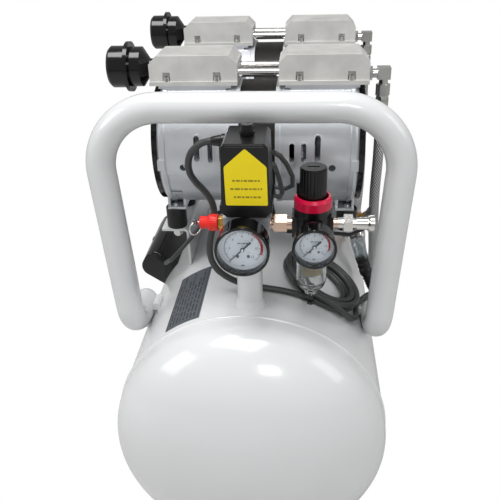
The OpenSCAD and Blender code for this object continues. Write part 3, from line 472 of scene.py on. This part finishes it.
def turned(name, profile, place, direction, material, segments=48, **fixed):
    """A turned part: (radius, height) profile in mm spun about a line from a place."""
    shape = bmesh.new()
    verts = [shape.verts.new((r * MM, 0, h * MM)) for r, h in profile]
    edges = [shape.edges.new(pair) for pair in zip(verts, verts[1:])]
    bmesh.ops.spin(shape, geom=verts + edges, cent=(0, 0, 0), axis=(0, 0, 1),
                   angle=2 * math.pi, steps=segments, use_merge=True)
    bmesh.ops.remove_doubles(shape, verts=shape.verts, dist=0.01 * MM)
    shape.transform(moved(place) @ facing(direction))
    return piece(name, shape, material, **fixed)


GLAND_DIR = (-1, 0.02, -0.06)
PLUG_TAIL = LEAD_OUT[-1]
PLUG_DIR = (-0.3, 0.42, 0.857)
PIN_R = 1.9
PIN_LONG = 17.0
PIN_MIDDLE = 48.6
PIN_SPREAD = 4.2


def make_gland():
    """Gland nut with a short smooth strain relief on the cord."""
    profile = [(3.52, 0), (6.4, 0), (6.4, 3.4), (5.6, 4.2), (5.2, 8), (4.6, 12), (3.9, 14),
               (3.52, 14), (3.52, 0)]
    return turned("cord_gland", profile, LEAD_IN[0], GLAND_DIR, satin_black,
                  slot="black_plastic")


def make_plug():
    """Moulded plug with finger ribs, its pins, and a clear ribbed cover over them."""
    body = [(0, 0), (3.52, 0), (4.2, 0.2)]
    for rib in range(4):
        h = 1.6 + rib * 3.2
        r = 4.5 + rib * 0.4
        body += [(r - 0.6, h), (r, h + 0.4), (r, h + 1.9), (r - 0.5, h + 2.4)]
    body += [(5.4, 15.6), (7, 17.5), (7.7, 20), (7.7, 24), (7.1, 25), (7.1, 26.2), (7.7, 27.2),
             (7.7, 30), (7.1, 31), (7.1, 32.2), (7.7, 33.2), (7.7, 38.8), (7.2, 40), (0, 40)]
    body_part = turned("plug_body", body, PLUG_TAIL, PLUG_DIR, satin_black,
                       slot="black_plastic")
    cover = [(7.75, 37), (8.15, 37), (8.15, 41)]
    for rib in range(4):
        h = 41 + rib * 4.8
        cover += [(8.15, h + 0.6), (7.7, h + 1.3), (7.7, h + 3.2), (8.15, h + 3.9)]
    cover += [(8.15, 61.4), (7.6, 62), (0, 62), (0, 61), (6.9, 61), (6.9, 40.2), (7.75, 40.2),
              (7.75, 37)]
    cover_part = turned("plug_pin_cover", cover, PLUG_TAIL, PLUG_DIR, clear_cover,
                        slot="clear_plastic")
    shape = bmesh.new()
    for side in (-1, 1):
        place = moved((side * PIN_SPREAD, 0, PIN_MIDDLE))
        made = bmesh.ops.create_cone(shape, cap_ends=True, segments=20, radius1=PIN_R * MM,
                                     radius2=PIN_R * MM, depth=PIN_LONG * MM, matrix=place)
        # only the free end is rounded
        rim = [e for e in shape.edges if e.is_manifold
               and all(v in made["verts"] and v.co.z > PIN_MIDDLE * MM for v in e.verts)]
        bmesh.ops.bevel(shape, geom=rim, offset=1.0 * MM, segments=3, profile=0.5,
                        affect="EDGES", material=-1)
    shape.transform(moved(PLUG_TAIL) @ facing(PLUG_DIR))
    pins = piece("plug_pins", shape, nickel, slot="chrome")
    return [body_part, cover_part, pins]


# ---------- hoses ----------

HOSE_FRONT = [[144.5, -78, 537], [144.5, -79, 500], [144.5, -81, 460], [143.5, -83, 415],
              [145, -84, 370], [147.5, -81, 335], [148.5, -72, 308], [146.5, -55, 292],
              [143, -36, 291], [140.5, -18, 299], [139, -4, 309.5], [138.1, 5, 315.5],
              [137.9, 8, 317.2], [137.9, 12.6, 317.7]]
HOSE_REAR = [[144.5, 150, 537], [144.5, 149, 500], [145, 148, 460], [146, 146, 415],
             [147, 142, 372], [146, 132, 340], [143, 114, 320], [140, 92, 314],
             [138.4, 72, 316], [137.9, 57.4, 317.7]]


HOSE_R = 6.2
HOSE_STEP = 3.0
COLLAR_LONG = 16.0
COLLAR_R = 6.9
COLLAR_BULGE = 0.5
COLLAR_LIP_R = 6.5


def make_hoses():
    """Braided hoses with a smooth swaged collar at each end."""
    first = None
    for name, route in (("front", HOSE_FRONT), ("rear", HOSE_REAR)):
        line = smooth_line(metres(route), HOSE_STEP * MM)
        hose = piece(f"{name}_hose_braid", tube(line, [HOSE_R * MM] * len(line), 28), braid,
                     slot="braid", smooth=60)
        first = first or hose
        for end, stretch in (("upper", line), ("lower", line[::-1])):
            part = stretch[distances(stretch) <= COLLAR_LONG * MM]
            last = len(part) - 1
            radii = [(COLLAR_R + COLLAR_BULGE * math.sin(math.pi * i / last) ** 0.3) * MM
                     for i in range(len(part))]
            radii[0] = radii[-1] = COLLAR_LIP_R * MM
            piece(f"{name}_hose_{end}_collar", tube(part, radii, 32), nickel, slot="chrome")
    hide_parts("delivery_hoses")


# ---------- gauges ----------

# middle (x, z), radius of the dial, and the y of its face
MAIN_GAUGE = ((0.5, 454.0), 22.9, -297.0)
REG_GAUGE = ((66.5, 455.0), 17.9, -292.0)
SCALE_START = 225.0
SCALE_TURN = 270.0
SCALE_TOP = 12
RED_BAND = (390.0, 472.0)
PRINT_LIFT = 0.12


def on_dial(centre, y, degrees, radius):
    """A point in mm on a dial facing -Y, its angle clockwise from the top."""
    a = math.radians(degrees)
    return Vector((centre[0] + radius * math.sin(a), y, centre[1] + radius * math.cos(a)))


def mark(shape, centre, y, degrees, inner, outer, width):
    """One printed line across the scale."""
    ends = [on_dial(centre, y, degrees, r) for r in (inner, outer)]
    side = (on_dial(centre, y, degrees + 90, 1) - Vector((centre[0], y, centre[1]))) * width / 2
    verts = [shape.verts.new(p * MM) for p in (ends[0] - side, ends[0] + side,
                                               ends[1] + side, ends[1] - side)]
    shape.faces.new(verts)


def arc(shape, centre, y, start, end, inner, outer):
    """A printed band round the scale."""
    steps = max(2, round(abs(end - start) / 3))
    rows = [[shape.verts.new(on_dial(centre, y, start + (end - start) * i / steps, r) * MM)
             for i in range(steps + 1)] for r in (inner, outer)]
    for i in range(steps):
        shape.faces.new((rows[0][i], rows[0][i + 1], rows[1][i + 1], rows[1][i]))


def facing_front(shape):
    """Turns every flat printed face towards -Y."""
    bmesh.ops.recalc_face_normals(shape, faces=shape.faces)
    wrong = [f for f in shape.faces if f.normal.y > 0]
    bmesh.ops.reverse_faces(shape, faces=wrong)


def printed(name, shape, material):
    """A flat print, kept as drawn."""
    facing_front(shape)
    return ride_along(name, shape, material)


def numerals(name, centre, y, radius, size, step):
    """Dial numbers from 0 to 12 as flat meshes."""
    whole = bmesh.new()
    for value in range(0, SCALE_TOP + 1, step):
        curve = bpy.data.curves.new(name, "FONT")
        curve.body = str(value)
        curve.size = size * MM
        curve.align_x = "CENTER"
        curve.align_y = "CENTER"
        curve.resolution_u = 3
        text = bpy.data.objects.new(name, curve)
        bpy.context.scene.collection.objects.link(text)
        flat = bpy.data.meshes.new_from_object(text)
        spot = on_dial(centre, y, SCALE_START + SCALE_TURN * value / SCALE_TOP, radius) * MM
        flat.transform(Matrix.Translation(spot) @ Matrix.Rotation(math.pi / 2, 4, "X"))
        whole.from_mesh(flat)
        bpy.data.objects.remove(text)
        bpy.data.curves.remove(curve)
        bpy.data.meshes.remove(flat)
    return printed(name, whole, ink_black)


def make_dial(name, gauge, numeral_size):
    """The printed scales of one gauge: ticks, numbers, a red band and two small dots."""
    centre, radius, front = gauge
    y = front - PRINT_LIFT
    black = bmesh.new()
    for i in range(61):
        angle = SCALE_START + SCALE_TURN * i / 60
        long_tick = i % 5 == 0
        mark(black, centre, y, angle, radius * (0.66 if long_tick else 0.71), radius * 0.76,
             0.42 if long_tick else 0.25)
    arc(black, centre, y, SCALE_START, SCALE_START + SCALE_TURN, radius * 0.75, radius * 0.765)
    for i in range(33):
        mark(black, centre, y, SCALE_START + SCALE_TURN * i / 32, radius * 0.86, radius * 0.9,
             0.22)
    for side in (-1, 1):
        arc(black, (centre[0] + side * radius * 0.22, centre[1] - radius * 0.37), y, 0, 360, 0,
            radius * 0.07)
    greeked(black, [(centre[0] - radius * 0.2, centre[0] + radius * 0.22,
                     centre[1] + radius * 0.2, radius * 0.05, 1),
                    (centre[0] - radius * 0.08, centre[0] + radius * 0.1,
                     centre[1] - radius * 0.82, radius * 0.05, 4)], y)
    printed(f"{name}_scale", black, ink_black)
    red = bmesh.new()
    arc(red, centre, y - 0.03, *RED_BAND, radius * 0.73, radius * 0.83)
    printed(f"{name}_red_band", red, ink_red)
    numerals(f"{name}_numbers", centre, y, radius * 0.55, numeral_size, 2)


def make_gauges():
    make_dial("main_gauge", MAIN_GAUGE, 3.6)
    make_dial("regulator_gauge", REG_GAUGE, 2.9)


# ---------- labels ----------

def rounded(points, radius, steps=5):
    """The outline with its corners rounded."""
    out = []
    count = len(points)
    for i in range(count):
        p = Vector(points[i])
        before = Vector(points[i - 1]) - p
        after = Vector(points[(i + 1) % count]) - p
        r = min(radius, before.length / 2.2, after.length / 2.2)
        a = p + before.normalized() * r
        b = p + after.normalized() * r
        for k in range(steps + 1):
            t = k / steps
            out.append((1 - t) ** 2 * a + 2 * t * (1 - t) * p + t * t * b)
    return out


def flat_label(shape, outline, y):
    """A flat face on a plane facing -Y from (x, z) points in mm."""
    shape.faces.new([shape.verts.new((p[0] * MM, y * MM, p[1] * MM)) for p in outline])


# widths of the dashes that stand for words, in heights of the row, and the space after each
WORD_WIDTHS = (1.4, 2.2, 0.9, 1.8, 2.8, 1.2, 2.0)
WORD_SPACE = 0.55
LEAST_WORD = 0.4


def greeked(shape, rows, y):
    """Rows of dashes that stand for words: (x0, x1, z, height, first width) each."""
    for x, end, z, height, word in rows:
        while x < end - LEAST_WORD:
            width = min(WORD_WIDTHS[word % len(WORD_WIDTHS)] * height, end - x)
            flat_label(shape, [(x, z), (x + width, z), (x + width, z + height), (x, z + height)],
                       y)
            x += width + WORD_SPACE * height
            word += 1


COVER_FACE_Y = -281.0


def make_cover_label():
    """Yellow label on the front of the switch cover, its words greeked."""
    outline = rounded([(-15.2, 490), (23.5, 490), (22.7, 527.5), (3.6, 544.6), (-15.7, 527.5)],
                      1.8)
    shape = bmesh.new()
    flat_label(shape, outline, COVER_FACE_Y - 0.08)
    bmesh.ops.triangulate(shape, faces=shape.faces)
    printed("switch_label", shape, label_yellow)
    words = bmesh.new()
    rows = [(-8.5, 16.5, 513.5, 1.7, 0), (-10.5, 18.5, 505.5, 1.7, 3), (-7.5, 17, 497.5, 1.7, 5)]
    greeked(words, rows, COVER_FACE_Y - 0.14)
    printed("switch_label_words", words, label_ink)


def on_shell(degrees, y, lift):
    """A point in mm on the tank's skin; degrees lean left from the top."""
    a = math.radians(degrees)
    radius = TANK_R + lift
    return Vector((-radius * math.sin(a), y, TANK_Z + radius * math.cos(a)))


def shell_patch(shape, a0, a1, y0, y1, lift):
    """A patch that follows the tank's skin."""
    steps = max(1, round(abs(a1 - a0) / 1.5))
    rows = [[shape.verts.new(on_shell(a0 + (a1 - a0) * i / steps, y, lift) * MM)
             for i in range(steps + 1)] for y in (y0, y1)]
    for i in range(steps):
        face = shape.faces.new((rows[0][i], rows[0][i + 1], rows[1][i + 1], rows[1][i]))
        face.normal_update()
        out = face.calc_center_median() - Vector((0, 0, TANK_Z * MM))
        if face.normal.dot(Vector((out.x, 0, out.z))) < 0:
            face.normal_flip()


# the print's frame in degrees and mm, its rows, and the widths of the words in mm
PLATE_PRINT = (21.1, 36.5, -260.8, -156.2)
PLATE_LIFT = 0.9
PLATE_ROWS = 8
PLATE_WORDS = (7, 12, 5, 9, 14, 6, 10)


def make_plate_print():
    """Greeked rows and a frame printed on the data plate."""
    shape = bmesh.new()
    a0, a1, y0, y1 = PLATE_PRINT
    for patch in ((a0, a1, y0, y0 + 0.6), (a0, a1, y1 - 0.6, y1),
                  (a0, a0 + 0.3, y0, y1), (a1 - 0.3, a1, y0, y1)):
        shell_patch(shape, *patch, PLATE_LIFT)
    for row in range(PLATE_ROWS):
        angle = 22.8 + row * 1.7
        end = -160 - 14 * (row % 3)
        y = -257.0
        word = row * 3
        while y < end:
            width = PLATE_WORDS[word % len(PLATE_WORDS)]
            shell_patch(shape, angle, angle + 0.75, y, min(y + width, end), PLATE_LIFT)
            y += width + 3
            word += 1
    piece("nameplate_print", shape, plate_ink)


# ---------- tank ends ----------

TANK_END_Y = 270
FLANGE = 17
DOME = 75
WALL = 3


def make_dishes():
    """Pressed ends of the tank: straight flange, elliptical dome and the bead of the seam."""
    outside = [(TANK_R, 0), (TANK_R, 4.5), (TANK_R, FLANGE)]
    outside += quarter(TANK_R, DOME, FLANGE, range(2, 90, 2))
    inside = quarter(TANK_R - WALL, DOME - WALL, FLANGE, range(88, -1, -4))
    poles = [(0, FLANGE + DOME), (0, FLANGE + DOME - WALL)]
    profile = outside + poles + inside + [(TANK_R - WALL, 0), (TANK_R, 0)]
    bead = [(149.4 + r, z) for r, z in quarter(2.2, 2.2, 2.2, range(0, 361, 20))]
    for name, side in (("front_dish", -1), ("rear_dish", 1)):
        place = (0, side * TANK_END_Y, TANK_Z)
        dish = turned(name, profile, place, (0, side, 0), enamel, segments=144,
                      slot="white_paint")
        turned(f"{name}_weld", bead, place, (0, side, 0), enamel, segments=144,
               slot="white_paint")
        if name == "front_dish":
            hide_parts("tank_dishes")


# ---------- wheels ----------

AXLE_Y = 190.0
AXLE_Z = 65.0


def make_wheel(name, side):
    """Ribbed rim with a solid tyre that has a grooved tread."""
    centre = (0, AXLE_Y, AXLE_Z)
    out = (side, 0, 0)
    rim = turned(f"{name}_rim", [
        (6.05, 137), (13.2, 137), (14, 137.8), (14, 148), (36, 148), (36, 140), (37, 139),
        (42, 139), (42, 166), (37, 166), (36, 165), (36, 154), (14, 154), (14, 168),
        (13, 169), (6.05, 169), (6.05, 137)], centre, out, satin_black, segments=96, body=name,
        slot="tyre_rubber")
    tread = [(42, 139), (46, 138.2), (50, 136.4), (56, 137), (60, 138), (63, 140.6),
             (65, 144)]
    for groove in range(3):
        x = 147.4 + groove * 5.1
        tread += [(65, x - 1), (63.6, x - 0.6), (63.6, x + 0.6), (65, x + 1)]
    tread += [(65, 161), (63, 164.4), (60, 167), (56, 168), (50, 168.6), (46, 166.8), (42, 166),
              (42, 139)]
    turned(f"{name}_tyre", tread, centre, out, tyre_black, segments=96, body=name,
           slot="tyre_rubber")
    ribs = bmesh.new()
    for rib in range(8):
        place = (Matrix.Rotation(math.radians(rib * 45), 4, "Z") @ moved((25, 0, 158.5))
                 @ Matrix.Diagonal((23 * MM, 3 * MM, 9.2 * MM, 1)))
        bmesh.ops.create_cube(ribs, size=1, matrix=place)
    ribs.transform(moved(centre) @ facing(out))
    piece(f"{name}_ribs", ribs, satin_black, body=name, slot="tyre_rubber")
    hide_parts(name)


# ---------- safety valve ----------

VALVE_PLACE = (0, -246.0, 455.0)
VALVE_DIR = (-1, 0, 0)
# radius, distance from the port and depth of the knurl, all in mm
CAP_PROFILE = [(8.0, 28.55, 0.0), (8.5, 29.0, 0.35), (8.5, 36.6, 0.35), (8.1, 37.2, 0.2),
               (6.5, 38.9, 0.1), (6.3, 39.2, 0.25), (6.3, 46.2, 0.25), (5.7, 46.8, 0.0),
               (1.7, 46.8, 0.0)]
KNURLS = 24


def make_safety_valve():
    """Brass hexagon with chamfered corners and a red knurled cap, pointing to -X."""
    shape = bmesh.new()
    bmesh.ops.create_cone(shape, cap_ends=True, segments=6, radius1=7.5 * MM,
                          radius2=7.5 * MM, depth=6.8 * MM)
    bmesh.ops.bevel(shape, geom=list(shape.edges), offset=0.4 * MM, segments=2, profile=0.5,
                    affect="EDGES", material=-1)
    shape.transform(moved(VALVE_PLACE) @ moved((-25.1, 0, 0))
                    @ Matrix.Rotation(math.pi / 2, 4, "Y"))
    hexagon = piece("safety_valve_hexagon", shape, brass, slot="brass")
    turned("safety_valve_neck", [(0, 20.6), (4.5, 20.6), (4.5, 22), (0, 22)], VALVE_PLACE,
           VALVE_DIR, brass, slot="brass")
    cap = bmesh.new()
    profile = [(0, CAP_PROFILE[0][1], 0.0), *CAP_PROFILE, (0, CAP_PROFILE[-1][1], 0.0)]
    verts = [cap.verts.new((r * MM, 0, along * MM)) for r, along, _ in profile]
    edges = [cap.edges.new(pair) for pair in zip(verts, verts[1:])]
    bmesh.ops.spin(cap, geom=verts + edges, cent=(0, 0, 0), axis=(0, 0, 1),
                   angle=2 * math.pi, steps=4 * KNURLS, use_merge=True)
    bmesh.ops.remove_doubles(cap, verts=cap.verts, dist=0.01 * MM)
    for vert in cap.verts:
        radius = math.hypot(vert.co.x, vert.co.y)
        if radius < MM:
            continue
        depth = next(d for r, along, d in profile
                     if abs(r * MM - radius) + abs(along * MM - vert.co.z) < 0.02 * MM)
        angle = math.atan2(vert.co.y, vert.co.x)
        cut = 1 - depth * MM * (0.5 + 0.5 * math.cos(angle * KNURLS)) / radius
        vert.co.x *= cut
        vert.co.y *= cut
    cap.transform(moved(VALVE_PLACE) @ facing(VALVE_DIR))
    piece("safety_valve_cap", cap, cap_red, slot="red_plastic", smooth=40)
    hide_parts("safety_valve_body")


# ---------- small parts ----------

CAPACITOR_LEAN = math.radians(-56)
COVER_HALF = 19.9
COVER_FRONT_Y = -79.9
COVER_LONG = 119.8
COVER_CORNER = 14.9


def make_capacitor_cover():
    """Rounded cover of the starting capacitors on the left shoulder, with its screw."""
    turn = moved((0, 0, TANK_Z)) @ Matrix.Rotation(CAPACITOR_LEAN, 4, "Y")
    corner = quarter(COVER_CORNER, COVER_CORNER, 175, range(10, 91, 10))
    outline = [(-COVER_HALF, 147.5), (COVER_HALF, 147.5), (COVER_HALF, 175)]
    outline += [(COVER_HALF - COVER_CORNER + x, z) for x, z in corner]
    outline += [(-x, z) for x, z in outline[:1:-1]]
    shape = bmesh.new()
    front = shape.faces.new([shape.verts.new((x * MM, COVER_FRONT_Y * MM, z * MM))
                             for x, z in outline])
    swept = bmesh.ops.extrude_face_region(shape, geom=[front])["geom"]
    bmesh.ops.translate(shape, vec=(0, COVER_LONG * MM, 0),
                        verts=[v for v in swept if isinstance(v, bmesh.types.BMVert)])
    ends = [e for e in shape.edges if abs(e.verts[0].co.y - e.verts[1].co.y) < 0.1 * MM]
    bmesh.ops.bevel(shape, geom=ends, offset=2.6 * MM, segments=4, profile=0.5,
                    affect="EDGES", material=-1)
    shape.transform(turn)
    cover = piece("capacitor_cover_shell", shape, gloss_black, slot="black_plastic", smooth=50)
    head_profile = [(0, 0), (3.4, 0), (3.4, 1.2), (2.6, 1.9), (1.2, 2.0), (1.2, 1.2), (0, 1.2)]
    head = turned("capacitor_cover_screw", head_profile, (0, 0, 0), (0, 0, 1), steel,
                  slot="chrome")
    head.data.transform(turn @ moved((0, -20, 189.5)))
    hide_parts("capacitor_cover")


make_camera()
make_cord()
make_hoses()
make_gauges()
make_cover_label()
make_plate_print()
make_dishes()
make_wheel("left_wheel", -1)
make_wheel("right_wheel", 1)
make_safety_valve()
make_capacitor_cover()
dress_cad()
make_studio()
